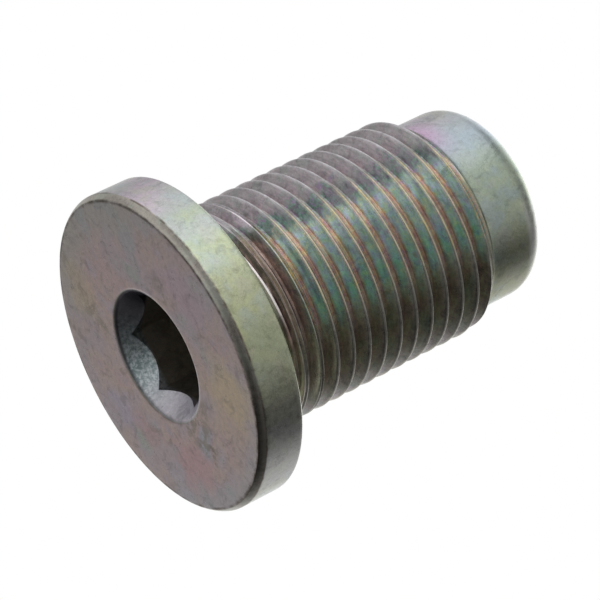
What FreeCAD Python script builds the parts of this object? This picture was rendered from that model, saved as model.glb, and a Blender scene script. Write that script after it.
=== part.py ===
import FreeCAD, Part
import math
import os

# Magnetic drain plug: a turned steel screw plug with a round collar head, an internal hexagon,
# a relieved neck, an M18 x 1.5 right-hand thread, a plain pilot end and a magnet let into that end.
# Millimetres. The plug stands on its head: z = 0 is the head's outer face, +Z runs along the
# screw axis from the head to the magnet end, and the hexagon has two corners on the X axis.

# head
HEAD_D = 25.75           # collar head diameter
HEAD_T = 3.9             # head thickness
HEAD_EDGE = 0.36         # edge break of the outer face, across
HEAD_EDGE_L = 0.55       # and along the axis
HEAD_EDGE_BULGE = 0.04   # how far the edge break is crowned
HEAD_BACK_EDGE = 0.15    # edge break at the seat side

# internal hexagon
HEX_AF = 8.1             # width across flats, for an 8 mm key
HEX_DEPTH = 9.2          # depth of the flats below the outer face
HEX_DRILL_D = 8.1        # pilot drilling below the flats
HEX_DRILL_DEPTH = 10.2   # depth of the drilling's cylindrical part
HEX_DRILL_POINT = 118.0  # point angle of the drilling, degrees
SINK_D = 10.62           # diameter of the countersink cone in the outer face
SINK_HALF_ANGLE = 35.0   # half angle of the countersink cone, degrees
MOUTH_D = 10.96          # diameter over the edge break round the mouth
MOUTH_T = 0.11           # depth of that edge break

# neck behind the head (thread relief)
NECK_D = 15.7
NECK_FILLET = 0.6        # corner radius under the head
NECK_END = 5.97          # where the relief starts to rise to the thread
THREAD_START = 6.37      # where it reaches the crest diameter

# thread M18 x 1.5, right-hand: this solid is the smooth cylinder over the crests
THREAD_D = 17.86         # crest diameter
THREAD_END = 25.05       # end of the full crest diameter

# plain pilot that holds the magnet
PILOT_D = 15.7
PILOT_START = 26.3       # foot of the thread's end chamfer
PILOT_START_FILLET = 0.2
TOTAL_L = 31.75          # overall length
PILOT_ROUND = 2.0        # rounding radius of the end rim

# magnet and its blind bore
MAGNET_D = 10.0
MAGNET_L = 8.0
MAGNET_RECESS = 0.3      # the magnet's face lies this far below the end rim
MAGNET_EDGE = 0.5        # 45 degree bevel of the magnet's outer end, under the peened lip
LIP_FLARE = 0.3          # widening of the lip above the magnet's face

Z = FreeCAD.Vector(0, 0, 1)
O = FreeCAD.Vector(0, 0, 0)


def point(r, z):
    return FreeCAD.Vector(r, 0, z)


def line(a, b):
    return Part.LineSegment(a, b).toShape()


def arc(a, m, b):
    return Part.Arc(a, m, b).toShape()


def turned(edges):
    # a solid of revolution about the screw axis from a closed half section
    solid = Part.Face(Part.Wire(edges)).revolve(O, Z, 360)
    if solid.Volume < 0:
        solid.reverse()
    return solid


def blank():
    # outer half section, from the centre of the outer face round to the centre of the end face
    rh, rn, rt, rp = HEAD_D / 2, NECK_D / 2, THREAD_D / 2, PILOT_D / 2
    f, g, q = NECK_FILLET, PILOT_START_FILLET, PILOT_ROUND
    s = math.sin(math.pi / 4)
    # fillet between the end chamfer, which falls towards the pilot, and the pilot
    dr, dz = rt - rp, PILOT_START - THREAD_END
    slope = math.atan2(dr, dz)
    tangent = g * math.tan(slope / 2)
    c_in = point(rp + tangent * math.sin(slope), PILOT_START - tangent * math.cos(slope))
    c_out = point(rp, PILOT_START + tangent)
    centre = point(rp + g, PILOT_START + tangent)
    # crown of the head's edge break
    e, el, b = HEAD_EDGE, HEAD_EDGE_L, HEAD_EDGE_BULGE
    w = math.hypot(e, el)
    crown = point(rh - e / 2 + b * el / w, el / 2 - b * e / w)
    mid_a = math.pi + slope / 2
    c_mid = FreeCAD.Vector(centre.x + g * math.cos(mid_a), 0, centre.z + g * math.sin(mid_a))
    return turned([
        line(point(0, 0), point(rh - e, 0)),
        arc(point(rh - e, 0), crown, point(rh, el)),
        line(point(rh, el), point(rh, HEAD_T - HEAD_BACK_EDGE)),
        line(point(rh, HEAD_T - HEAD_BACK_EDGE), point(rh - HEAD_BACK_EDGE, HEAD_T)),
        line(point(rh - HEAD_BACK_EDGE, HEAD_T), point(rn + f, HEAD_T)),
        arc(point(rn + f, HEAD_T), point(rn + f - f * s, HEAD_T + f - f * s), point(rn, HEAD_T + f)),
        line(point(rn, HEAD_T + f), point(rn, NECK_END)),
        line(point(rn, NECK_END), point(rt, THREAD_START)),
        line(point(rt, THREAD_START), point(rt, THREAD_END)),
        line(point(rt, THREAD_END), c_in),
        arc(c_in, c_mid, c_out),
        line(c_out, point(rp, TOTAL_L - q)),
        arc(point(rp, TOTAL_L - q), point(rp - q + q * s, TOTAL_L - q + q * s), point(rp - q, TOTAL_L)),
        line(point(rp - q, TOTAL_L), point(0, TOTAL_L)),
        line(point(0, TOTAL_L), point(0, 0)),
    ])


def hexagon_socket():
    # flats: a prism with corners on the X axis, cut a little past the outer face
    r = HEX_AF / 2 / math.cos(math.pi / 6)
    corners = [FreeCAD.Vector(r * math.cos(math.radians(60 * k)), r * math.sin(math.radians(60 * k)), -1.0) for k in range(6)]
    prism = Part.Face(Part.makePolygon(corners + [corners[0]])).extrude(FreeCAD.Vector(0, 0, HEX_DEPTH + 1.0))
    # pilot drilling with its conical point
    rd = HEX_DRILL_D / 2
    tip = HEX_DRILL_DEPTH + rd / math.tan(math.radians(HEX_DRILL_POINT / 2))
    drilling = turned([
        line(point(0, -1.0), point(rd, -1.0)),
        line(point(rd, -1.0), point(rd, HEX_DRILL_DEPTH)),
        line(point(rd, HEX_DRILL_DEPTH), point(0, tip)),
        line(point(0, tip), point(0, -1.0)),
    ])
    # countersink: a cone whose mouth lies in the outer face
    k = math.tan(math.radians(SINK_HALF_ANGLE))
    apex = SINK_D / 2 / k
    sink = turned([
        line(point(0, -0.5), point(SINK_D / 2 + 0.5 * k, -0.5)),
        line(point(SINK_D / 2 + 0.5 * k, -0.5), point(0, apex)),
        line(point(0, apex), point(0, -0.5)),
    ])
    # edge break round the mouth, down to the countersink
    inner = (apex - MOUTH_T) * k
    slope = (MOUTH_D / 2 - inner) / MOUTH_T
    mouth = turned([
        line(point(0, -0.1), point(MOUTH_D / 2 + 0.1 * slope, -0.1)),
        line(point(MOUTH_D / 2 + 0.1 * slope, -0.1), point(inner, MOUTH_T)),
        line(point(inner, MOUTH_T), point(0, MOUTH_T)),
        line(point(0, MOUTH_T), point(0, -0.1)),
    ])
    return prism.fuse(drilling).fuse(sink).fuse(mouth).removeSplitter()


def magnet_solid():
    r, e = MAGNET_D / 2, MAGNET_EDGE
    top = TOTAL_L - MAGNET_RECESS
    return turned([
        line(point(0, top - MAGNET_L), point(r, top - MAGNET_L)),
        line(point(r, top - MAGNET_L), point(r, top - e)),
        line(point(r, top - e), point(r - e, top)),
        line(point(r - e, top), point(0, top)),
        line(point(0, top), point(0, top - MAGNET_L)),
    ])


def magnet_bore():
    # the blind bore follows the magnet, and its mouth flares above the peened lip
    r, e = MAGNET_D / 2, MAGNET_EDGE
    top = TOTAL_L - MAGNET_RECESS
    over = 0.5
    flare = LIP_FLARE * (MAGNET_RECESS + over) / MAGNET_RECESS
    return turned([
        line(point(0, top - MAGNET_L), point(r, top - MAGNET_L)),
        line(point(r, top - MAGNET_L), point(r, top - e)),
        line(point(r, top - e), point(r - e, top)),
        line(point(r - e, top), point(r - e + flare, TOTAL_L + over)),
        line(point(r - e + flare, TOTAL_L + over), point(0, TOTAL_L + over)),
        line(point(0, TOTAL_L + over), point(0, top - MAGNET_L)),
    ])


def single(shape):
    solids = shape.Solids
    assert len(solids) == 1, len(solids)
    assert solids[0].isValid()
    return solids[0]


parts = {
    "plug_body": single(blank().cut(hexagon_socket()).cut(magnet_bore())),
    "magnet": single(magnet_solid()),
}

os.makedirs("parts", exist_ok=True)
for name, shape in parts.items():
    shape.exportStep("parts/%s.step" % name)
    box = shape.BoundBox
    print(name, "volume mm3 %.2f" % shape.Volume,
          "box %.3f %.3f %.3f  %.3f %.3f %.3f" % (box.XMin, box.YMin, box.ZMin, box.XMax, box.YMax, box.ZMax))
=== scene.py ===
import math

import bpy
from mathutils import Matrix, Vector, noise


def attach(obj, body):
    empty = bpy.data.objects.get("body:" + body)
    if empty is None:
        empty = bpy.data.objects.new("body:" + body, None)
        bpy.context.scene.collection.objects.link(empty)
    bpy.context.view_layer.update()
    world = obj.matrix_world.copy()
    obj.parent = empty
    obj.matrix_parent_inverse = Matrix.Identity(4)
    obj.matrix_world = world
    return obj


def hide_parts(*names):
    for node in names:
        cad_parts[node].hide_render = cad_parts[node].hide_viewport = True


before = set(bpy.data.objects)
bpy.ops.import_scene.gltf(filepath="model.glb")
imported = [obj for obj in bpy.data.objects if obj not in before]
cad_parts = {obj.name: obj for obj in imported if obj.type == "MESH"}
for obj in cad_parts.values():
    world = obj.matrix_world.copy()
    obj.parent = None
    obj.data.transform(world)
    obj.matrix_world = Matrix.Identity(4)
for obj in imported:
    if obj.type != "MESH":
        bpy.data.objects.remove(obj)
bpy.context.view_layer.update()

# Sizes in millimetres, as in the construction. z = 0 is the head's outer face, +Z runs to the magnet end.
HEAD_R, HEAD_T, HEAD_BACK = 12.875, 3.90, 0.15
HEAD_EDGE, HEAD_EDGE_L, HEAD_CROWN = 0.36, 0.55, 0.04
HEX_AF, HEX_DEPTH, DRILL_R, DRILL_DEPTH, DRILL_POINT = 8.10, 9.20, 4.05, 10.20, 118.0
SINK_R, SINK_HALF, MOUTH_R, MOUTH_T = 5.31, 35.0, 5.48, 0.11
NECK_R, NECK_FILLET, NECK_END = 7.85, 0.60, 5.97
THREAD_START, THREAD_R, THREAD_END = 6.37, 8.93, 25.05
PITCH, CREST_HALF = 1.5, 0.115
PILOT_R, PILOT_START, PILOT_ROUND, TOTAL = 7.85, 26.30, 2.00, 31.75
MAG_R, MAG_L, MAG_RECESS, MAG_EDGE, LIP_FLARE = 5.00, 8.00, 0.30, 0.50, 0.30
CREST_Z = 8.997           # height of a thread crest on the +X side
COLS = 240                # columns round the axis, a multiple of 12 so that the hexagon's corners are vertices
MM = 0.001


def smooth(x):
    x = min(1.0, max(0.0, x))
    return x * x * (3 - 2 * x)


# ---------------------------------------------------------------- camera: the photograph's viewing angle
def make_camera():
    right = Vector((0.443040, -0.424742, 0.789500))
    down = Vector((0.896502, 0.209902, -0.390161))
    ahead = Vector((0.0, 0.880645, 0.473777))
    place = Vector((0.979, -224.586, -107.823)) * MM
    m = Matrix.Identity(4)
    for i in range(3):
        m[i][0], m[i][1], m[i][2], m[i][3] = right[i], -down[i], -ahead[i], place[i]
    data = bpy.data.cameras.new("camera")
    data.sensor_width = 36.0
    data.lens = 201.108
    data.clip_start, data.clip_end = 0.01, 10.0
    cam = bpy.data.objects.new("camera", data)
    cam.matrix_world = m
    bpy.context.scene.collection.objects.link(cam)
    bpy.context.scene.camera = cam
    return right, -down, -ahead


CAM_RIGHT, CAM_UP, CAM_BACK = make_camera()


# ---------------------------------------------------------------- mesh building
class Skin:
    """A closed surface made of rings of COLS points round the axis, in millimetres."""

    def __init__(self):
        self.v, self.f = [], []

    def vert(self, x, y, z):
        self.v.append((x * MM, y * MM, z * MM))
        return len(self.v) - 1

    def ring(self, radius, height):
        """radius and height are numbers or functions of the angle."""
        out = []
        for j in range(COLS):
            a = 2 * math.pi * j / COLS
            r = radius(a) if callable(radius) else radius
            z = height(a) if callable(height) else height
            out.append(self.vert(r * math.cos(a), r * math.sin(a), z))
        return out

    def band(self, a, b):
        for j in range(COLS):
            k = (j + 1) % COLS
            self.f.append((a[j], a[k], b[k], b[j]))

    def fan(self, tip, ring, last=False):
        for j in range(COLS):
            k = (j + 1) % COLS
            self.f.append((tip, ring[j], ring[k]) if last else (tip, ring[k], ring[j]))

    def rings(self, rows, start=None):
        """Adds rows of (radius, height) and joins each to the last."""
        last = start
        for r, z in rows:
            new = self.ring(r, z)
            if last is not None:
                self.band(last, new)
            last = new
        return last

    def make(self, name, sharp=34.0):
        me = bpy.data.meshes.new(name)
        me.from_pydata(self.v, [], self.f)
        me.validate()
        me.update()
        me.shade_smooth()
        me.set_sharp_from_angle(angle=math.radians(sharp))
        ob = bpy.data.objects.new(name, me)
        bpy.context.scene.collection.objects.link(ob)
        return ob


def steps(a, b, n):
    """n rows from a to b, without a itself."""
    return [tuple(a[k] + (b[k] - a[k]) * i / n for k in range(2)) for i in range(1, n + 1)]


def corner(centre, radius, a0, a1, n):
    """Rows on an arc in the (radius, height) plane, angles in degrees."""
    out = []
    for i in range(n + 1):
        a = math.radians(a0 + (a1 - a0) * i / n)
        out.append((centre[0] + radius * math.cos(a), centre[1] + radius * math.sin(a)))
    return out


def hex_r(a):
    w = (a % (math.pi / 3)) - math.pi / 6
    return HEX_AF / 2 / math.cos(w)


# ---------------------------------------------------------------- thread surface
TAN30 = math.tan(math.radians(30))


def crest_offset(z, a):
    """Distance along the axis from the nearest crest line, in millimetres, and the crest's number."""
    t = (z - CREST_Z) / PITCH - a / (2 * math.pi)
    k = math.floor(t + 0.5)
    return (t - k) * PITCH, k


def wobble(x, y, z, scale, seed=0.0):
    return noise.noise(Vector((x * scale + seed, y * scale - seed, z * scale + 0.37 * seed)))


def table(x, points):
    """Smooth interpolation in a short table of (x, value)."""
    if x <= points[0][0]:
        return points[0][1]
    for (x0, v0), (x1, v1) in zip(points, points[1:]):
        if x < x1:
            return v0 + (v1 - v0) * smooth((x - x0) / (x1 - x0))
    return points[-1][1]


# The first turns behind the head are only partly rolled: by turns from the start of the thread, the radius over
# the crests, the radius at the bottom of the grooves and the depth of the seam left in the middle of a crest.
CREST_R = [(-0.6, 8.60), (0.3, 8.86), (1.2, 8.93)]
ROOT_R = [(-0.6, 8.34), (0.0, 8.24), (1.0, 8.21), (2.0, 8.07), (2.8, 8.05)]
SEAM = [(-0.4, 0.0), (0.3, 0.13), (0.8, 0.13), (1.6, 0.10), (2.2, 0.03), (2.7, 0.0)]
ROOT_HALF = 0.127


def flank_edge(zc, side):
    """Distance from a crest's middle to the edge of its top on one side."""
    rr = table((zc + side * PITCH / 2 - THREAD_START) / PITCH, ROOT_R)
    rc = table((zc - THREAD_START) / PITCH, CREST_R)
    return PITCH / 2 - ROOT_HALF - (rc - rr) * TAN30, rr, rc


def soft_min(a, b, k):
    h = min(1.0, max(0.0, 0.5 + 0.5 * (b - a) / k))
    return b + (a - b) * h - k * h * (1 - h)


def thread_r(z, a):
    off, _ = crest_offset(z, a)
    zc = z - off
    half, rr, rc = flank_edge(zc, 1 if off > 0 else -1)
    turn = (zc - THREAD_START) / PITCH
    x, y = math.cos(a) * THREAD_R, math.sin(a) * THREAD_R
    blunt = min(1.0, max(0.0, (half - CREST_HALF) / 0.12))
    rr += 0.03 * wobble(x, y, zc, 0.25, 3.1) * blunt
    seam = table(turn, SEAM) * (1 + 0.5 * wobble(x, y, zc, 0.3, 5.3))
    top = rc - seam * smooth(1 - abs(off) / max(0.06, half - 0.045))
    g = PITCH / 2 - abs(off)
    flank = rr + max(0.0, g - ROOT_HALF) / TAN30
    # rounded root and shoulders
    flank = rr + 0.5 * (flank - rr + math.sqrt((flank - rr) ** 2 + 0.05 ** 2)) - 0.012
    r = soft_min(top, flank, 0.15)
    r -= 0.010 * max(0.0, wobble(x, y, zc, 0.5, 4.4)) + 0.005 * wobble(x, y, z, 1.3, 1.9)
    # the first groove starts beside a narrow land of the unrolled blank
    lead, o = (turn, off) if off < 0 else (turn + 1, off - PITCH)
    if 0 < lead < 1:
        land = min(8.80, 8.60 + 2.9 * (lead - 0.5)) - 0.8 * smooth((lead - 0.62) / 0.15)
        r = max(r, land - 1.6 * max(0.0, o + 0.64))
    # relief at the head's side, chamfer at the other end
    start = NECK_R + (z - NECK_END) * (THREAD_R - 0.10 - NECK_R) / (THREAD_START - NECK_END)
    end = THREAD_R - (z - THREAD_END) * (THREAD_R - PILOT_R) / (PILOT_START - THREAD_END)
    return max(NECK_R, min(r, start, end, THREAD_R))


def thread_skin(skin, below, z_low, above_z, z_high_ring):
    """Rows that follow the helix between the ring at z_low and the ring at above_z; rows that leave the span end on those rings."""
    offs = [-0.75, -0.69, -0.62, -0.52, -0.40, -0.28, -0.19, -0.145, -0.11, -0.06, 0.0, 0.06, 0.11, 0.145, 0.19, 0.28, 0.40, 0.52, 0.62, 0.69]
    n = len(offs)
    k0 = math.floor((z_low - CREST_Z) / PITCH) - 1
    k1 = math.ceil((above_z - CREST_Z) / PITCH) + 1
    crest = [CREST_Z + k * PITCH for k in range(k0, k1 + 1) for o in offs]
    offset = [o for k in range(k0, k1 + 1) for o in offs]
    total = len(crest)
    made = {}

    def at(i, j):
        if j == COLS:
            i, j = i + n, 0
        a = 2 * math.pi * j / COLS
        if i >= total:
            return z_high_ring[j]
        # the rows near the crest follow its width
        half = flank_edge(crest[i] + PITCH * j / COLS, 1 if offset[i] > 0 else -1)[0]
        o = abs(offset[i])
        o = o * half / CREST_HALF if o < CREST_HALF else half + (o - CREST_HALF) * (0.75 - half) / (0.75 - CREST_HALF)
        z = crest[i] + math.copysign(o, offset[i]) + PITCH * j / COLS
        if z < z_low + 0.006:
            return below[j]
        if z > above_z - 0.006:
            return z_high_ring[j]
        key = (i, j)
        if key not in made:
            r = thread_r(z, a)
            made[key] = skin.vert(r * math.cos(a), r * math.sin(a), z)
        return made[key]

    for i in range(-n, total):
        for j in range(COLS):
            if i < 0:
                # the row before the first exists only in the wrap of the last column
                continue
            q = [at(i, j), at(i, j + 1), at(i + 1, j + 1) if i + 1 < total or j + 1 < COLS else z_high_ring[0], at(i + 1, j)]
            u = []
            for p in q:
                if p not in u:
                    u.append(p)
            if len(u) >= 3:
                skin.f.append(tuple(u))


def neck_r(z, a):
    # fine turning marks on the relief
    return NECK_R + 0.012 * math.sin(z * 2 * math.pi / 0.42 + a) - 0.012


def build_body():
    s = Skin()
    k = math.tan(math.radians(SINK_HALF))
    # socket, from the bottom of the drilling outwards
    tip_z = DRILL_DEPTH + DRILL_R / math.tan(math.radians(DRILL_POINT / 2))
    tip = s.vert(0, 0, tip_z)
    rows = [(DRILL_R * f, tip_z - (tip_z - DRILL_DEPTH) * f) for f in (0.08, 0.25, 0.45, 0.65, 0.85, 0.97, 1.0)]
    first = s.ring(*rows[0])
    s.fan(tip, first)
    last = s.rings(rows[1:], first)
    last = s.rings([(DRILL_R, HEX_DEPTH + 0.5), (DRILL_R, HEX_DEPTH + 0.06), (DRILL_R + 0.001, HEX_DEPTH)], last)
    last = s.rings([(lambda a: max(DRILL_R + 0.002, hex_r(a) - 0.05), HEX_DEPTH), (lambda a: hex_r(a) + 0.003, HEX_DEPTH - 0.05)], last)

    def cut(a):
        return (SINK_R - hex_r(a)) / k

    for f in (0.9, 0.7, 0.45, 0.25, 0.12, 0.05, 0.02, 0.0):
        last = s.rings([(hex_r, lambda a, f=f: cut(a) + (HEX_DEPTH - 0.05 - cut(a)) * f)], last)
    top = MOUTH_T + 0.02
    for f in (0.02, 0.08, 0.2, 0.4, 0.6, 0.8, 0.94, 1.0):
        def zz(a, f=f):
            return cut(a) + (top - cut(a)) * f

        def rr(a, f=f):
            return SINK_R - zz(a) * k
        last = s.rings([(rr, zz)], last)
    # edge break of the mouth with rounded corners, then the outer face
    r0 = SINK_R - MOUTH_T * k
    last = s.rings([(r0 + (MOUTH_R - r0) * f, MOUTH_T * (1 - f)) for f in (0.06, 0.30, 0.62, 0.84)], last)
    last = s.rings([(MOUTH_R + 0.012, 0.006), (MOUTH_R + 0.06, 0.0), (MOUTH_R + 0.16, 0.0)], last)
    e, el = HEAD_EDGE, HEAD_EDGE_L
    face_end = HEAD_R - e - 0.05
    last = s.rings([(MOUTH_R + 0.16 + (face_end - MOUTH_R - 0.16) * f, 0.0) for f in (0.1, 0.25, 0.4, 0.55, 0.7, 0.85, 0.95, 1.0)], last)
    # crowned edge break, rim, seat side edge break
    w = math.hypot(e, el)
    for f in (0.0, 0.08, 0.22, 0.40, 0.58, 0.75, 0.88, 0.96):
        bulge = 4 * f * (1 - f) * HEAD_CROWN
        last = s.rings([(HEAD_R - e * (1 - f) + bulge * el / w, el * f - bulge * e / w + (0.006 if f == 0 else 0.0))], last)
    last = s.rings([(HEAD_R - 0.004, el + 0.015), (HEAD_R, el + 0.05)], last)
    last = s.rings([(HEAD_R, z) for z in (0.9, 1.4, 2.0, 2.6, 3.1, 3.5, HEAD_T - HEAD_BACK - 0.03)], last)
    b = HEAD_BACK
    last = s.rings([(HEAD_R - 0.012, HEAD_T - b + 0.012), (HEAD_R - b + 0.012, HEAD_T - 0.012), (HEAD_R - b - 0.03, HEAD_T)], last)
    # seat face, fillet, relief
    last = s.rings([(r, HEAD_T) for r in (12.2, 11.4, 10.6, 9.8, 9.1, 8.7)], last)
    last = s.rings(corner((NECK_R + NECK_FILLET, HEAD_T + NECK_FILLET), NECK_FILLET, 270, 180, 6), last)
    z = HEAD_T + NECK_FILLET
    while z < NECK_END - 0.05:
        z = min(NECK_END, z + 0.10)
        last = s.rings([(lambda a, z=z: neck_r(z, a), z)], last)
    low = s.ring(NECK_R, NECK_END + 0.0001)
    s.band(last, low)
    # thread, up to the foot of its end chamfer
    top_z = PILOT_START - 0.02
    high = s.ring(PILOT_R + 0.02, top_z)
    thread_skin(s, low, NECK_END + 0.0001, top_z, high)
    last = s.rings([(PILOT_R + 0.006, PILOT_START + 0.03), (PILOT_R, PILOT_START + 0.10)], high)
    last = s.rings([(PILOT_R, z) for z in (26.7, 27.2, 27.9, 28.6, 29.2, TOTAL - PILOT_ROUND)], last)
    last = s.rings(corner((PILOT_R - PILOT_ROUND, TOTAL - PILOT_ROUND), PILOT_ROUND, 0, 90, 14)[1:], last)
    # end rim, peened lip over the magnet's bevel, bore
    lip_r = MAG_R - MAG_EDGE + LIP_FLARE
    mag_top = TOTAL - MAG_RECESS
    last = s.rings([(5.5, TOTAL), (5.15, TOTAL), (lip_r + 0.12, TOTAL), (lip_r + 0.04, TOTAL - 0.012), (lip_r - 0.015, TOTAL - 0.05),
                    (MAG_R - MAG_EDGE + 0.06, mag_top + 0.05), (MAG_R - MAG_EDGE, mag_top)], last)
    last = s.rings([(MAG_R, mag_top - MAG_EDGE), (MAG_R, mag_top - MAG_L / 2), (MAG_R, mag_top - MAG_L)], last)
    last = s.rings([(2.5, mag_top - MAG_L), (0.3, mag_top - MAG_L)], last)
    s.fan(s.vert(0, 0, mag_top - MAG_L), last, last=True)
    return s.make("plug_skin")


def build_magnet():
    s = Skin()
    top = TOTAL - MAG_RECESS
    first = s.ring(0.3, top - MAG_L)
    s.fan(s.vert(0, 0, top - MAG_L), first)
    last = s.rings([(2.5, top - MAG_L), (MAG_R - 0.002, top - MAG_L), (MAG_R - 0.002, top - MAG_L / 2), (MAG_R - 0.002, top - MAG_EDGE - 0.001),
                    (MAG_R - MAG_EDGE - 0.002, top - 0.001), (4.3, top - 0.001), (3.3, top - 0.001), (2.2, top - 0.001), (1.1, top - 0.001), (0.3, top - 0.001)], first)
    s.fan(s.vert(0, 0, top - 0.001), last, last=True)
    return s.make("magnet_skin")


body = build_body()
magnet = build_magnet()

# ---------------------------------------------------------------- nodes
class Nodes:
    def __init__(self, tree):
        self.t = tree

    def new(self, kind, **props):
        n = self.t.nodes.new(kind)
        for k, v in props.items():
            setattr(n, k, v)
        return n

    def put(self, socket, value):
        if isinstance(value, bpy.types.NodeSocket):
            self.t.links.new(value, socket)
        elif value is not None:
            socket.default_value = value

    def math(self, op, a, b=None, c=None, clamp=False):
        n = self.new("ShaderNodeMath", operation=op, use_clamp=clamp)
        for i, v in enumerate((a, b, c)):
            self.put(n.inputs[i], v)
        return n.outputs[0]

    def vmath(self, op, a, b=None, scale=None):
        n = self.new("ShaderNodeVectorMath", operation=op)
        self.put(n.inputs[0], a)
        self.put(n.inputs[1], b)
        if scale is not None:
            self.put(n.inputs["Scale"], scale)
        return n.outputs["Value"] if op in ("DOT_PRODUCT", "LENGTH", "DISTANCE") else n.outputs["Vector"]

    def step(self, x, lo, hi, a=0.0, b=1.0):
        """Smooth step of x from a at lo to b at hi."""
        n = self.new("ShaderNodeMapRange", interpolation_type="SMOOTHSTEP")
        for k, v in zip(("Value", "From Min", "From Max", "To Min", "To Max"), (x, lo, hi, a, b)):
            self.put(n.inputs[k], v)
        return n.outputs["Result"]

    def between(self, x, a, b, c, d):
        """1 between b and c, falling to 0 at a and d."""
        return self.math("MULTIPLY", self.step(x, a, b), self.step(x, c, d, 1.0, 0.0))

    def mix(self, f, a, b):
        n = self.new("ShaderNodeMix", data_type="FLOAT")
        for i, v in zip((0, 2, 3), (f, a, b)):
            self.put(n.inputs[i], v)
        return n.outputs[0]

    def blend(self, f, a, b, kind="MIX"):
        n = self.new("ShaderNodeMix", data_type="RGBA", blend_type=kind)
        for i, v in zip((0, 6, 7), (f, a, b)):
            self.put(n.inputs[i], tuple(v) + (1.0,) if isinstance(v, (tuple, list)) and len(v) == 3 else v)
        return n.outputs[2]

    def ramp(self, f, stops, interp="LINEAR"):
        n = self.new("ShaderNodeValToRGB")
        n.color_ramp.interpolation = interp
        e = n.color_ramp.elements
        while len(e) < len(stops):
            e.new(0.5)
        for x, (pos, col) in zip(e, stops):
            x.position = pos
            x.color = tuple(col) + (1.0,) if len(col) == 3 else col
        self.put(n.inputs[0], f)
        return n.outputs[0]

    def noise(self, v, scale, detail=2.0, rough=0.5, warp=0.0, lac=2.0):
        n = self.new("ShaderNodeTexNoise")
        for k, x in (("Vector", v), ("Scale", scale), ("Detail", detail), ("Roughness", rough), ("Distortion", warp), ("Lacunarity", lac)):
            self.put(n.inputs[k], x)
        return n.outputs[0]

    def tint_noise(self, v, scale, detail=2.0):
        """Three independent noises as a vector."""
        n = self.new("ShaderNodeTexNoise")
        for k, x in (("Vector", v), ("Scale", scale), ("Detail", detail)):
            self.put(n.inputs[k], x)
        return n.outputs["Color"]

    def voronoi(self, v, scale, feature="F1"):
        n = self.new("ShaderNodeTexVoronoi", feature=feature)
        self.put(n.inputs["Vector"], v)
        self.put(n.inputs["Scale"], scale)
        return n.outputs["Distance"]


def material(name):
    m = bpy.data.materials.new(name)
    m.use_nodes = True
    m.node_tree.nodes.clear()
    n = Nodes(m.node_tree)
    out = n.new("ShaderNodeOutputMaterial")
    bsdf = n.new("ShaderNodeBsdfPrincipled")
    n.put(out.inputs["Surface"], bsdf.outputs[0])
    return m, n, bsdf


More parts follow.
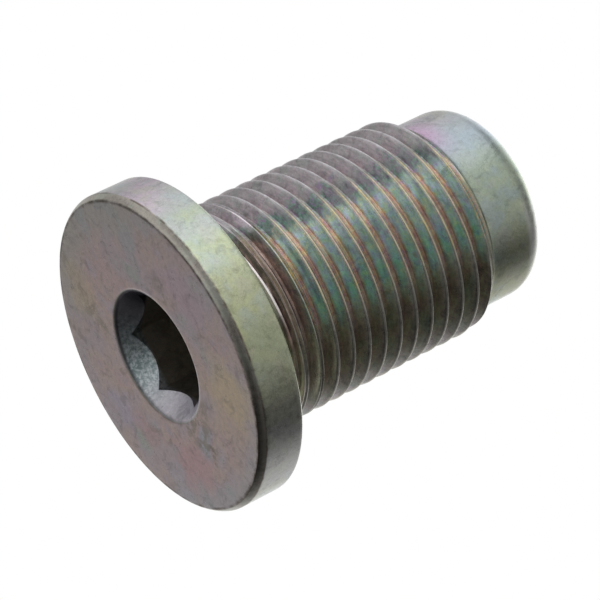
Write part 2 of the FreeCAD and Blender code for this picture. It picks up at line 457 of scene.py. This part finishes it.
def plated_steel():
    """Zinc plated steel with a passivation film whose thickness, and with it the tint, drifts over the part."""
    m, n, b = material("plated_steel")
    co = n.vmath("SCALE", n.new("ShaderNodeTexCoord").outputs["Object"], scale=1000.0)
    sep = n.new("ShaderNodeSeparateXYZ")
    n.put(sep.inputs[0], co)
    x, y, z = sep.outputs
    r = n.math("SQRT", n.math("MULTIPLY_ADD", x, x, n.math("MULTIPLY", y, y)))
    cs, sn = n.math("DIVIDE", x, r), n.math("DIVIDE", y, r)
    turn = n.math("DIVIDE", n.math("ARCTAN2", y, x), 2 * math.pi)

    def around(deg, sharp):
        """1 at the given angle round the axis, falling off to both sides."""
        c, q = math.cos(math.radians(deg)), math.sin(math.radians(deg))
        dot = n.math("MULTIPLY_ADD", cs, c, n.math("MULTIPLY", sn, q))
        return n.math("EXPONENT", n.math("MULTIPLY_ADD", dot, sharp, -sharp))

    # ---- zones
    thread = n.math("MULTIPLY", n.between(z, 5.85, 6.25, 25.6, 26.3), n.step(r, 6.0, 6.2))
    pilot = n.math("MULTIPLY", n.step(z, 25.9, 26.4), n.step(r, 5.2, 5.4))
    face = n.math("MULTIPLY", n.step(z, 0.10, 0.02), n.step(r, 5.40, 5.52))
    rim = n.math("MULTIPLY", n.step(r, 12.55, 12.8), n.step(z, 0.1, 0.3))
    hole = n.math("MULTIPLY", n.step(r, 5.50, 5.30), n.step(z, 14.0, 13.5))
    neck = n.math("MULTIPLY", n.between(z, 3.80, 3.95, 5.9, 6.3), n.step(r, 6.0, 6.2))

    # ---- noises shared by the layers, in millimetres
    slow = n.noise(co, 0.115, 1.5, 0.5)
    patch = n.noise(co, 0.42, 3.0, 0.6, 0.4)
    fine = n.noise(co, 2.3, 4.0, 0.65)
    grain = n.noise(co, 9.0, 3.0, 0.6)

    # ---- plain surfaces: a warm mauve on the face, green to rose on the rim and the pilot
    broad = n.noise(co, 0.20, 2.0, 0.5, 0.3)
    hue = n.math("MULTIPLY_ADD", n.math("SUBTRACT", patch, 0.5), 0.75, n.math("MULTIPLY_ADD", n.math("SUBTRACT", broad, 0.5), 2.0, 0.5))
    face_tint = n.ramp(hue, [(0.0, (0.510, 0.515, 0.480)), (0.22, (0.565, 0.520, 0.535)), (0.42, (0.620, 0.495, 0.520)), (0.56, (0.655, 0.540, 0.480)),
                             (0.72, (0.645, 0.485, 0.480)), (0.88, (0.590, 0.530, 0.580)), (1.0, (0.540, 0.530, 0.560))], "B_SPLINE")
    soft = n.vmath("ADD", co, n.vmath("SCALE", n.vmath("SUBTRACT", n.tint_noise(co, 0.28, 2.0), (0.5, 0.5, 0.5)), scale=7.0))
    for px, py, size, amount, col in ((5.2, -8.0, 4.6, 0.90, (0.725, 0.590, 0.430)), (-7.0, 6.6, 3.6, 0.80, (0.700, 0.565, 0.430)),
                                      (-3.5, -8.5, 4.0, 0.70, (0.640, 0.490, 0.550)), (8.2, 2.6, 3.4, 0.75, (0.665, 0.440, 0.455)), (5.0, 7.2, 2.8, 0.70, (0.660, 0.445, 0.465)),
                                      (-9.6, -3.6, 3.0, 0.55, (0.500, 0.510, 0.520)), (2.6, 9.6, 2.8, 0.65, (0.575, 0.515, 0.610)),
                                      (10.2, 5.4, 2.6, 0.60, (0.540, 0.530, 0.590)), (-6.5, 0.5, 3.2, 0.45, (0.660, 0.500, 0.500))):
        near = n.vmath("LENGTH", n.vmath("MULTIPLY", n.vmath("SUBTRACT", soft, (px, py, 0.0)), (1.0, 1.0, 0.0)))
        face_tint = n.blend(n.step(near, size, size * 0.25, 0.0, amount), face_tint, col)
    face_tint = n.blend(n.math("MULTIPLY", n.math("MULTIPLY", around(172, 2.2), n.step(r, 8.5, 12.2)), 0.60), face_tint, (0.475, 0.510, 0.470))
    face_tint = n.blend(n.math("MULTIPLY", n.math("MULTIPLY", around(-8, 2.5), n.step(r, 10.4, 12.2)), 0.60), face_tint, (0.560, 0.560, 0.580))
    daub = n.step(n.noise(co, 1.15, 4.0, 0.68, 0.6), 0.43, 0.58)
    for px, py, size, amount in ((6.8, -1.8, 2.8, 0.75), (-5.0, 6.6, 2.6, 0.60), (-8.6, 6.8, 1.8, 0.60), (4.6, 6.3, 2.0, 0.45), (-4.0, -5.4, 1.8, 0.40), (0.5, -7.6, 1.5, 0.45)):
        near = n.vmath("LENGTH", n.vmath("MULTIPLY", n.vmath("SUBTRACT", soft, (px, py, 0.0)), (1.0, 1.0, 0.0)))
        face_tint = n.blend(n.math("MULTIPLY", n.step(near, size, size * 0.4, 0.0, amount), daub), face_tint, (0.36, 0.31, 0.26))
    green = around(-88, 2.4)
    rose = around(-152, 5.0)
    far = around(75, 1.2)
    lean = n.math("MULTIPLY_ADD", green, 0.50, n.math("MULTIPLY", rose, -0.42))
    lean = n.math("MULTIPLY_ADD", far, 0.25, lean)
    v = n.math("ADD", n.math("MULTIPLY_ADD", n.math("SUBTRACT", patch, 0.5), 0.9, n.math("MULTIPLY_ADD", n.math("SUBTRACT", broad, 0.5), 1.1, 0.40)), lean)
    rim_tint = n.ramp(v, [(0.0, (0.570, 0.490, 0.560)), (0.22, (0.515, 0.505, 0.520)), (0.42, (0.500, 0.522, 0.500)), (0.58, (0.500, 0.545, 0.450)),
                          (0.74, (0.535, 0.560, 0.405)), (0.88, (0.510, 0.545, 0.400)), (1.0, (0.470, 0.520, 0.420))])
    chill = n.noise(co, 0.5, 2.0, 0.5, 0.3)
    rim_tint = n.blend(n.step(chill, 0.52, 0.66, 0.0, 0.55), rim_tint, (0.465, 0.520, 0.535))
    rim_tint = n.blend(n.step(chill, 0.46, 0.36, 0.0, 0.45), rim_tint, (0.560, 0.545, 0.480))
    # painted highlight: a pale band on the rim at one angle round the axis
    rim_tint = n.blend(n.math("MULTIPLY", n.math("MULTIPLY", rim, around(-35, 9.0)), 0.8), rim_tint, (0.640, 0.630, 0.640))
    cool = n.math("MULTIPLY", pilot, around(-128, 20.0))
    rim_tint = n.blend(n.math("MULTIPLY", cool, 0.80), rim_tint, (0.510, 0.560, 0.600))
    # painted reflection: the pilot's end round is paler at one angle round the axis
    rim_tint = n.blend(n.math("MULTIPLY", n.math("MULTIPLY", pilot, n.step(z, 29.6, 30.2)), n.math("MULTIPLY", around(-52, 12.0), 0.8)), rim_tint, (0.700, 0.700, 0.690))
    blush = n.math("MULTIPLY", pilot, n.math("MULTIPLY", around(-143, 22.0), n.step(z, 28.6, 26.4)))
    rim_tint = n.blend(n.math("MULTIPLY", blush, 0.90), rim_tint, (0.640, 0.445, 0.610))
    # painted light and shade round the axis on the rim and the pilot: lighter at some angles, darker at others, with
    # small hue shifts
    for zone, deg0, sharp, col in ((rim, -120, 20.0, (1.07, 1.12, 1.09)), (rim, -80, 12.0, (1.0, 0.99, 0.82)), (n.math("MAXIMUM", rim, pilot), -54, 30.0, (0.76, 0.76, 0.76)),
                                   (pilot, -105, 6.0, (0.84, 0.92, 0.98))):
        rim_tint = n.blend(n.math("MULTIPLY", zone, around(deg0, sharp)), rim_tint, n.blend(1.0, rim_tint, col, "MULTIPLY"))
    tint = n.blend(face, rim_tint, face_tint)
    # the edge break of the head is browner, with painted shade on it, darkest below
    edge = n.math("MULTIPLY", n.step(r, 12.46, 12.56), n.between(z, -0.5, -0.4, 0.50, 0.62))
    below = n.math("ADD", n.math("MULTIPLY", around(-38, 2.2), 0.88), n.math("MULTIPLY", around(178, 8.0), 0.35))
    edge_tint_and_shade = n.blend(n.math("MINIMUM", below, 0.9), n.blend(n.step(patch, 0.42, 0.60), (0.600, 0.560, 0.500), (0.620, 0.640, 0.560)), (0.150, 0.136, 0.120))
    tint = n.blend(edge, tint, edge_tint_and_shade)
    # stains along the edges of the head
    lip = n.math("MAXIMUM", n.math("MULTIPLY", n.between(r, 12.24, 12.44, 12.53, 12.62), n.step(z, 0.30, 0.10)),
                 n.math("MULTIPLY", n.between(z, 0.44, 0.53, 0.58, 0.70), n.step(r, 12.7, 12.8)))
    lip = n.math("MULTIPLY", lip, n.step(n.noise(co, 0.8, 3.0, 0.65), 0.36, 0.62, 0.10, 0.85))
    tint = n.blend(lip, tint, (0.15, 0.125, 0.10))
    # the socket is nearly bare and dark; its countersink is painted with light and shade: lit below, nearly black on
    # the far side, with a painted dark reflection along the mouth's edge
    cone = n.math("MULTIPLY", hole, n.step(z, 2.0, 1.6))
    tint = n.blend(hole, tint, (0.43, 0.40, 0.345))
    pitted = n.step(n.noise(co, 3.4, 4.0, 0.7), 0.38, 0.64)
    countersink_light_shade = n.blend(around(92, 5.0), (0.66, 0.62, 0.68), n.blend(pitted, (0.34, 0.44, 0.45), (0.86, 0.95, 0.97)))
    countersink_light_shade = n.blend(n.math("MULTIPLY", around(125, 14.0), 0.6), countersink_light_shade, n.blend(pitted, (0.13, 0.20, 0.20), (0.42, 0.48, 0.50)))
    countersink_light_shade = n.blend(n.math("MULTIPLY", around(184, 2.4), 0.98), countersink_light_shade, (0.022, 0.019, 0.030))
    countersink_light_shade = n.blend(n.math("MULTIPLY", n.between(r, 5.12, 5.24, 5.44, 5.52), n.math("MULTIPLY", around(118, 1.6), 0.92)), countersink_light_shade, (0.07, 0.06, 0.07))
    tint = n.blend(cone, tint, countersink_light_shade)

    # ---- thread: the film changes from the bottom of each groove to the crest
    u = n.math("SUBTRACT", n.math("DIVIDE", n.math("SUBTRACT", z, CREST_Z), PITCH), turn)
    phase = n.math("ABSOLUTE", n.math("SUBTRACT", u, n.math("ROUND", u)))
    side = n.math("SUBTRACT", u, n.math("ROUND", u))
    deg = n.math("MULTIPLY_ADD", turn, 360.0, 180.0)

    def squash(kr, kz):
        c = n.new("ShaderNodeCombineXYZ")
        for i, (w, k) in enumerate(((x, kr), (y, kr), (z, kz))):
            n.put(c.inputs[i], n.math("MULTIPLY", w, k))
        return c.outputs[0]
    blot = n.noise(squash(1.05, 2.4), 1.0, 5.0, 0.75, 0.35)
    wide = n.noise(squash(0.50, 0.75), 1.0, 3.0, 0.6)
    blot2 = n.noise(n.vmath("ADD", squash(0.9, 1.5), (7.3, 1.9, 4.1)), 1.3, 3.0, 0.6)
    streak = n.noise(squash(0.75, 7.5), 1.0, 4.0, 0.7)
    drift = n.math("ADD", n.math("MULTIPLY_ADD", n.math("SUBTRACT", wide, 0.5), 26.0, deg), n.math("MULTIPLY", n.math("SUBTRACT", blot, 0.5), 12.0))
    early = n.step(n.math("SUBTRACT", z, n.math("MULTIPLY", turn, PITCH)), 9.2, 8.3)
    # the flanks turn from teal to blue and green, the bottoms of the grooves from orange to rose and straw
    ripple = n.math("SUBTRACT", blot, 0.5)
    fleck = n.math("SUBTRACT", fine, 0.5)
    film = n.math("MULTIPLY_ADD", ripple, 1.5, n.math("MULTIPLY_ADD", n.math("SUBTRACT", wide, 0.5), 0.9, n.math("MULTIPLY_ADD", fleck, 1.5, 0.60)))
    film_tint = n.ramp(film, [(0.0, (0.62, 0.56, 0.40)), (0.12, (0.60, 0.47, 0.46)), (0.24, (0.52, 0.47, 0.60)), (0.40, (0.47, 0.54, 0.62)),
                              (0.56, (0.47, 0.59, 0.58)), (0.70, (0.42, 0.57, 0.48)), (0.84, (0.50, 0.58, 0.42)), (1.0, (0.66, 0.62, 0.46))])
    film_tint = n.blend(n.between(deg, 88, 102, 300, 340), film_tint, n.blend(1.0, film_tint, (0.86, 1.03, 0.92), "MULTIPLY"))
    warm = n.math("MULTIPLY_ADD", ripple, 1.7, n.math("MULTIPLY_ADD", n.math("SUBTRACT", wide, 0.5), -1.1, n.math("MULTIPLY_ADD", fleck, 1.0, 0.5)))
    warm_tint = n.ramp(warm, [(0.0, (0.40, 0.38, 0.42)), (0.16, (0.48, 0.28, 0.32)), (0.34, (0.57, 0.33, 0.28)), (0.52, (0.65, 0.41, 0.26)), (0.70, (0.67, 0.53, 0.31)), (0.88, (0.48, 0.52, 0.36))])
    bottom = n.step(n.math("MULTIPLY_ADD", ripple, 0.36, phase), 0.325, 0.430)
    rosy = n.math("MULTIPLY", n.step(n.math("MULTIPLY_ADD", ripple, 0.25, side), -0.28, -0.39), n.between(deg, 74, 84, 104, 118))
    film_tint = n.blend(n.math("MULTIPLY", rosy, 0.60), film_tint, (0.58, 0.43, 0.41))
    film_tint = n.blend(bottom, film_tint, warm_tint)
    brown = n.blend(n.step(streak, 0.44, 0.60), (0.24, 0.185, 0.165), (0.40, 0.285, 0.245))
    # painted light: in a band round the axis the bottoms of the grooves are brighter and the rest a little darker
    glow = n.blend(n.between(drift, 54, 61, 66, 76), (1.0, 1.0, 1.0), n.blend(bottom, (1.30, 1.20, 1.24), (0.92, 0.92, 1.02)))
    film_tint = n.blend(1.0, film_tint, glow, "MULTIPLY")
    # painted shade: the bottoms of the grooves darker over most of the way round
    film_tint = n.blend(n.math("MULTIPLY", bottom, n.between(deg, 74, 84, 300, 340)), film_tint, n.blend(1.0, film_tint, (0.72, 0.74, 0.78), "MULTIPLY"))
    mauve = n.ramp(n.math("MULTIPLY_ADD", ripple, 0.9, wide), [(0.25, (0.50, 0.53, 0.49)), (0.42, (0.54, 0.51, 0.52)), (0.55, (0.60, 0.51, 0.55)), (0.72, (0.52, 0.49, 0.52))])
    olive = n.ramp(n.math("MULTIPLY_ADD", ripple, 0.9, wide), [(0.28, (0.40, 0.46, 0.37)), (0.45, (0.50, 0.47, 0.35)), (0.60, (0.50, 0.41, 0.36)), (0.75, (0.40, 0.37, 0.33))])
    dull = n.blend(n.between(deg, 104, 118, 150, 178), mauve, olive)
    dull = n.blend(n.math("MULTIPLY", n.between(deg, 205, 240, 262, 290), 0.8), dull, olive)
    vivid = n.between(drift, 56, 62, 104, 125)
    for lo, a0, a1, hi, k in ((186, 200, 222, 244, 0.55), (268, 288, 318, 340, 0.7)):
        vivid = n.math("MULTIPLY_ADD", n.between(drift, lo, a0, a1, hi), k, vivid)
    vivid = n.math("MULTIPLY", n.math("MULTIPLY_ADD", vivid, n.step(blot2, 0.30, 0.65, 0.62, 0.98), 0.10), n.math("MULTIPLY_ADD", early, -0.45, 1.0))
    groove = n.blend(vivid, dull, film_tint)
    # painted shade: a dark mottled band along the thread above the vivid part, flecked with the film's own colours
    shade = n.math("MULTIPLY", n.between(drift, 42, 51, 59, 65), n.step(n.math("ADD", wide, ripple), 0.36, 0.60, 0.35, 1.0))
    shade_tint = n.ramp(n.math("MULTIPLY_ADD", ripple, 1.9, n.math("MULTIPLY_ADD", n.math("SUBTRACT", wide, 0.5), 0.9, n.math("MULTIPLY_ADD", fleck, 1.6, 0.5))),
                        [(0.0, (0.56, 0.27, 0.29)), (0.20, (0.44, 0.28, 0.54)), (0.38, (0.25, 0.22, 0.29)), (0.52, (0.22, 0.34, 0.28)), (0.68, (0.28, 0.56, 0.42)), (0.85, (0.48, 0.34, 0.58))])
    groove = n.blend(n.math("MULTIPLY", shade, 0.74), groove, shade_tint)
    # the first turns by the head are dark brown: partly the film's own colour, partly painted shade beside the head
    groove = n.blend(n.math("MULTIPLY", n.math("MULTIPLY", early, n.between(drift, 48, 62, 104, 126)), 0.88), groove, brown)
    # painted light: a paler band on and before the crests at one side round the axis
    groove = n.blend(n.math("MULTIPLY", n.math("MULTIPLY", n.between(u, -0.50, -0.34, 0.06, 0.12), n.between(drift, 114, 128, 150, 166)), 0.55), groove, (0.62, 0.59, 0.53))
    # painted shade in the bottom of the grooves
    groove_shade = n.math("MULTIPLY", n.step(phase, 0.40, 0.46), n.between(deg, 62, 84, 330, 350))
    groove = n.blend(n.math("MULTIPLY", groove_shade, 0.55), groove, n.blend(1.0, groove, (0.50, 0.46, 0.42), "MULTIPLY"))
    # painted shade: the thread darker on two sides round the axis
    groove = n.blend(n.math("MAXIMUM", n.step(deg, 22, 8), n.between(deg, 145, 160, 180, 195)), groove, n.blend(1.0, groove, (0.80, 0.80, 0.79), "MULTIPLY"))
    # painted light and shade on the crests: paler crests at one side round the axis, darker ones over the low side
    low = n.between(deg, 106, 122, 330, 350)
    crest = n.step(n.math("MULTIPLY_ADD", low, -0.050, phase), 0.110, 0.045)
    crest_tint = n.blend(n.between(deg, 40, 56, 300, 340), (0.590, 0.565, 0.590), (0.415, 0.405, 0.380))
    crest_tint = n.blend(n.math("MULTIPLY", low, n.step(deg, 200, 170)), crest_tint, (0.450, 0.430, 0.375))
    spots = n.math("MULTIPLY_ADD", ripple, 1.6, n.math("MULTIPLY_ADD", n.math("SUBTRACT", blot2, 0.5), 1.2, 0.5))
    crest_tint = n.blend(n.between(deg, 50, 60, 104, 118), crest_tint, n.ramp(spots, [(0.1, (0.66, 0.43, 0.37)), (0.38, (0.66, 0.56, 0.46)), (0.60, (0.64, 0.60, 0.43)), (0.85, (0.76, 0.62, 0.33))]))
    # the crests of the first turns likewise: partly their own brown, partly painted shade beside the head
    crest_tint = n.blend(n.math("MULTIPLY", n.math("MULTIPLY", early, n.between(deg, 54, 66, 106, 126)), n.step(u, -0.35, -0.55, 0.15, 0.65)), crest_tint, (0.42, 0.31, 0.27))
    groove = n.blend(crest, groove, crest_tint)
    # painted highlights on the unrolled land at the start and on the flank of the first full turn, and the dark streak
    # before the second
    groove = n.blend(n.math("MULTIPLY", n.between(u, -1.80, -1.70, -1.43, -1.40), n.between(deg, 40, 50, 92, 108)), groove, (0.90, 0.83, 0.81))
    groove = n.blend(n.math("MULTIPLY", n.math("MULTIPLY", n.between(u, -0.34, -0.26, -0.04, 0.04), n.between(drift, 33, 40, 48, 55)), 0.8), groove, (0.93, 0.84, 0.90))
    groove = n.blend(n.math("MULTIPLY", n.math("MULTIPLY", n.between(u, 0.72, 0.78, 0.82, 0.88), n.between(drift, 62, 70, 98, 108)), 0.55), groove, (0.15, 0.20, 0.20))
    tint = n.blend(thread, tint, groove)

    # ---- fine mottling, streaks in the thread, specks and rubbed marks
    mottle = n.math("MULTIPLY_ADD", n.math("SUBTRACT", fine, 0.5), 0.60, n.math("MULTIPLY_ADD", n.math("SUBTRACT", grain, 0.5), 0.45, 1.0))
    mottle = n.math("MULTIPLY_ADD", n.math("MULTIPLY", n.math("SUBTRACT", streak, 0.5), thread), 1.15, mottle)
    smear = n.noise(co, 0.9, 5.0, 0.72, 0.8)
    mottle = n.math("MULTIPLY", mottle, n.step(smear, 0.34, 0.50, 0.80, 1.03))
    gray = n.new("ShaderNodeCombineXYZ")
    for i in range(3):
        n.put(gray.inputs[i], mottle)
    tint = n.blend(1.0, tint, gray.outputs[0], "MULTIPLY")
    speck = n.math("MULTIPLY", n.step(n.voronoi(co, 0.70), 0.26, 0.08), n.step(n.noise(co, 0.33, 1.0, 0.5), 0.54, 0.66))
    speck = n.math("MULTIPLY", speck, n.step(z, 4.6, 4.0, 0.10, 0.32))
    tint = n.blend(speck, tint, (0.24, 0.20, 0.17))
    n.put(b.inputs["Base Color"], tint)
    n.put(b.inputs["Metallic"], 1.0)
    n.put(b.inputs["Specular Tint"], (0.80, 0.80, 0.80, 1.0))
    rough = n.math("MULTIPLY_ADD", n.math("SUBTRACT", fine, 0.5), 0.22, n.math("MULTIPLY_ADD", n.math("SUBTRACT", patch, 0.5), 0.12, 0.31))
    rough = n.math("MULTIPLY_ADD", hole, 0.12, rough)
    n.put(b.inputs["Roughness"], rough)
    bump = n.new("ShaderNodeBump")
    n.put(bump.inputs["Strength"], 0.55)
    n.put(bump.inputs["Distance"], 0.00002)
    n.put(bump.inputs["Height"], n.math("MULTIPLY_ADD", fine, 0.8, n.math("MULTIPLY_ADD", n.math("MULTIPLY", streak, thread), 0.9, grain)))
    n.put(b.inputs["Normal"], bump.outputs[0])
    return m


def magnet_face():
    """Ground magnet: faint grinding rings, a nickel-grey skin worn darker in patches."""
    m, n, b = material("magnet_face")
    co = n.vmath("SCALE", n.new("ShaderNodeTexCoord").outputs["Object"], scale=1000.0)
    r = n.vmath("LENGTH", n.vmath("MULTIPLY", co, (1.0, 1.0, 0.0)))
    patch = n.noise(co, 0.55, 3.0, 0.6, 0.4)
    fine = n.noise(co, 3.2, 4.0, 0.68)
    line = n.new("ShaderNodeCombineXYZ")
    n.put(line.inputs[0], n.math("MULTIPLY", r, 5.5))
    ring = n.noise(line.outputs[0], 1.0, 2.0, 0.5)
    tint = n.ramp(n.math("MULTIPLY_ADD", n.math("SUBTRACT", fine, 0.5), 0.8, patch), [(0.30, (0.105, 0.105, 0.112)), (0.52, (0.150, 0.150, 0.158)), (0.75, (0.190, 0.188, 0.190))])
    tint = n.blend(n.step(r, 4.15, 4.50, 0.0, 0.45), tint, (0.075, 0.072, 0.070))
    n.put(b.inputs["Base Color"], tint)
    n.put(b.inputs["Metallic"], 1.0)
    n.put(b.inputs["Roughness"], n.math("MULTIPLY_ADD", n.math("SUBTRACT", fine, 0.5), 0.25, n.math("MULTIPLY_ADD", n.math("SUBTRACT", ring, 0.5), 0.20, 0.44)))
    bump = n.new("ShaderNodeBump")
    n.put(bump.inputs["Strength"], 0.5)
    n.put(bump.inputs["Distance"], 0.00002)
    n.put(bump.inputs["Height"], n.math("MULTIPLY_ADD", ring, 0.9, fine))
    n.put(b.inputs["Normal"], bump.outputs[0])
    return m


body.data.materials.append(plated_steel())
magnet.data.materials.append(magnet_face())

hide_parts("plug_body")
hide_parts("magnet")
for o, slot in ((body, "plated_steel"), (magnet, "magnet")):
    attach(o, "root")


# ---------------------------------------------------------------- light: a soft studio dome made of a few wide lobes
# each lobe: direction as the camera sees it (right, up, towards the camera), width, strength
LOBES = [
    (0.144, 0.9896, 0, 24, 0.80),
    (-0.1829, 0.9688, -0.1675, 24, 0.57),
    (0.0278, 0.9479, 0.3173, 24, 0.40),
    (0.2281, 0.9271, -0.2975, 24, 0.09),
    (-0.4163, 0.9062, 0.0736, 24, 0.20),
    (0.3922, 0.8854, 0.2495, 24, 0.52),
    (-0.1304, 0.8646, -0.4853, 24, 0.59),
    (0.5337, 0.8229, -0.1949, 24, 0.03),
    (-0.552, 0.8021, -0.2279, 24, 0.39),
    (0.2646, 0.7812, 0.5654, 24, 1.06),
    (0.1944, 0.7604, -0.6197, 24, 0.39),
    (-0.5823, 0.7396, 0.3375, 24, 0.26),
    (-0.4119, 0.6979, -0.5859, 24, 0.30),
    (-0.0946, 0.6771, 0.7298, 24, 0.36),
    (0.577, 0.6562, -0.4863, 24, 0.48),
    (-0.7715, 0.6354, -0.0319, 24, 0.34),
    (0.5592, 0.6146, 0.5564, 24, 0.21),
    (-0.0372, 0.5938, -0.8038, 24, 0.22),
    (-0.5251, 0.5729, 0.6293, 24, 0.13),
    (0.8263, 0.5521, -0.1112, 24, 0.39),
    (0.1887, 0.5104, 0.839, 24, 0.21),
    (0.4335, 0.4896, -0.7566, 24, 0.81),
    (-0.8415, 0.4688, 0.2685, 24, 0.35),
    (0.8116, 0.4479, 0.375, 24, 0.45),
    (-0.3491, 0.4271, -0.8341, 24, 0.20),
    (0.8168, 0.3854, -0.4293, 24, 0.05),
    (-0.9004, 0.3646, -0.2373, 24, 0.19),
    (0.5079, 0.3438, 0.7899, 24, 0.57),
    (0.1603, 0.3229, -0.9328, 24, 0.87),
    (-0.7537, 0.3021, 0.5837, 24, 0.49),
    (-0.6556, 0.2604, -0.7087, 24, 0.65),
    (0.0047, 0.2396, 0.9709, 24, 0.14),
    (0.6556, 0.2188, -0.7227, 24, 0.88),
    (-0.976, 0.1979, 0.0905, 24, 0.38),
    (0.784, 0.1771, 0.595, 24, 0.20),
    (-0.1768, 0.1562, -0.9718, 24, 0.40),
    (-0.5277, 0.1354, 0.8386, 24, 0.65),
    (-0.8858, 0.0938, -0.4546, 24, 0.20),
    (0.3467, 0.0729, 0.9351, 24, 0.10),
    (0.3765, 0.0521, -0.9249, 24, 1.49),
    (0.9556, 0.0104, 0.2946, 24, 0.41),
    (-0.5056, -0.0104, -0.8627, 24, 0.47),
    (-0.9897, -0.0729, -0.1233, 24, 0.15),
    (0.0362, -0.1146, -0.9928, 24, 0.96),
    (-0.6954, -0.1354, 0.7057, 24, 0.18),
    (0.9864, -0.1562, -0.0504, 24, 0.35),
    (0.1354, -0.1979, 0.9708, 24, 0.10),
    (0.5534, -0.2188, -0.8037, 24, 0.26),
    (-0.9462, -0.2396, 0.2177, 24, 0.07),
    (0.84, -0.2604, 0.4759, 24, 0.16),
    (-0.2961, -0.2812, -0.9128, 24, 0.79),
    (-0.3956, -0.3021, 0.8673, 24, 0.05),
    (0.8713, -0.3229, -0.3696, 24, 0.06),
    (0.4372, -0.3646, 0.8221, 24, 0.27),
    (0.2308, -0.3854, -0.8934, 24, 0.24),
    (-0.7662, -0.4062, 0.4979, 24, 0.17),
    (-0.5509, -0.4479, -0.7042, 24, 0.51),
    (0.6372, -0.4896, -0.5952, 24, 0.31),
    (-0.8599, -0.5104, 0.0084, 24, 0.24),
    (0.6303, -0.5312, 0.5662, 24, 0.08),
    (-0.081, -0.5521, -0.8298, 24, 0.80),
    (-0.4923, -0.5729, 0.6553, 24, 0.28),
    (0.3412, -0.6562, -0.673, 24, 0.42),
    (-0.6888, -0.6771, 0.2592, 24, 0.19),
    (-0.3008, -0.7188, -0.6268, 24, 0.31),
    (0.3482, -0.8021, 0.4852, 24, 0.19),
    (0.5022, -0.8646, 0.0159, 24, 0.08),
    (0.2374, -0.9271, -0.2901, 24, 0.18),
    (0.205, -0.9688, 0.1397, 24, 0.05),
]
BASE = 0.0


def make_world():
    world = bpy.data.worlds.new("studio")
    bpy.context.scene.world = world
    world.use_nodes = True
    world.node_tree.nodes.clear()
    n = Nodes(world.node_tree)
    way = n.new("ShaderNodeTexCoord").outputs["Generated"]
    total = BASE
    for r, u, b, k, s in LOBES:
        d = (CAM_RIGHT * r + CAM_UP * u + CAM_BACK * b).normalized()
        dot = n.vmath("DOT_PRODUCT", way, tuple(d))
        fall = n.math("EXPONENT", n.math("MULTIPLY_ADD", dot, k, -k))
        total = n.math("MULTIPLY_ADD", fall, s, total)
    lit = n.new("ShaderNodeBackground")
    n.put(lit.inputs["Color"], total)
    plain = n.new("ShaderNodeBackground")
    n.put(plain.inputs["Color"], (1.0, 1.0, 1.0, 1.0))
    pick = n.new("ShaderNodeMixShader")
    n.put(pick.inputs[0], n.new("ShaderNodeLightPath").outputs["Is Camera Ray"])
    n.put(pick.inputs[1], lit.outputs[0])
    n.put(pick.inputs[2], plain.outputs[0])
    out = n.new("ShaderNodeOutputWorld")
    n.put(out.inputs["Surface"], pick.outputs[0])


make_world()
bpy.context.scene.view_settings.view_transform = "Standard"


# ---------------------------------------------------------------- floor: pale, one-sided, and no light bounces off it
def make_floor():
    me = bpy.data.meshes.new("floor")
    ring = [(0.30 * math.cos(math.radians(a)), 0.30 * math.sin(math.radians(a)), -0.0002) for a in range(0, 360, 5)]
    me.from_pydata(ring, [], [tuple(range(len(ring)))])
    ob = bpy.data.objects.new("floor", me)
    bpy.context.scene.collection.objects.link(ob)
    m = bpy.data.materials.new("floor")
    m.use_nodes = True
    m.node_tree.nodes.clear()
    n = Nodes(m.node_tree)
    dull = n.new("ShaderNodeBsdfDiffuse")
    n.put(dull.inputs["Color"], (0.80, 0.80, 0.80, 1.0))
    glow = n.new("ShaderNodeEmission")
    n.put(glow.inputs["Color"], (1.0, 1.0, 1.0, 1.0))
    n.put(glow.inputs["Strength"], 0.48)
    pale = n.new("ShaderNodeAddShader")
    n.put(pale.inputs[0], dull.outputs[0])
    n.put(pale.inputs[1], glow.outputs[0])
    clear = n.new("ShaderNodeBsdfTransparent")
    away = n.vmath("LENGTH", n.new("ShaderNodeTexCoord").outputs["Object"])
    # it fades out into the backdrop and is clear from below, so that the head can be seen from there
    gone = n.math("MAXIMUM", n.step(away, 0.035, 0.20), n.new("ShaderNodeNewGeometry").outputs["Backfacing"])
    pick = n.new("ShaderNodeMixShader")
    n.put(pick.inputs[0], gone)
    n.put(pick.inputs[1], pale.outputs[0])
    n.put(pick.inputs[2], clear.outputs[0])
    out = n.new("ShaderNodeOutputMaterial")
    n.put(out.inputs["Surface"], pick.outputs[0])
    me.materials.append(m)
    ob.visible_diffuse = ob.visible_glossy = ob.visible_transmission = ob.visible_shadow = False


make_floor()
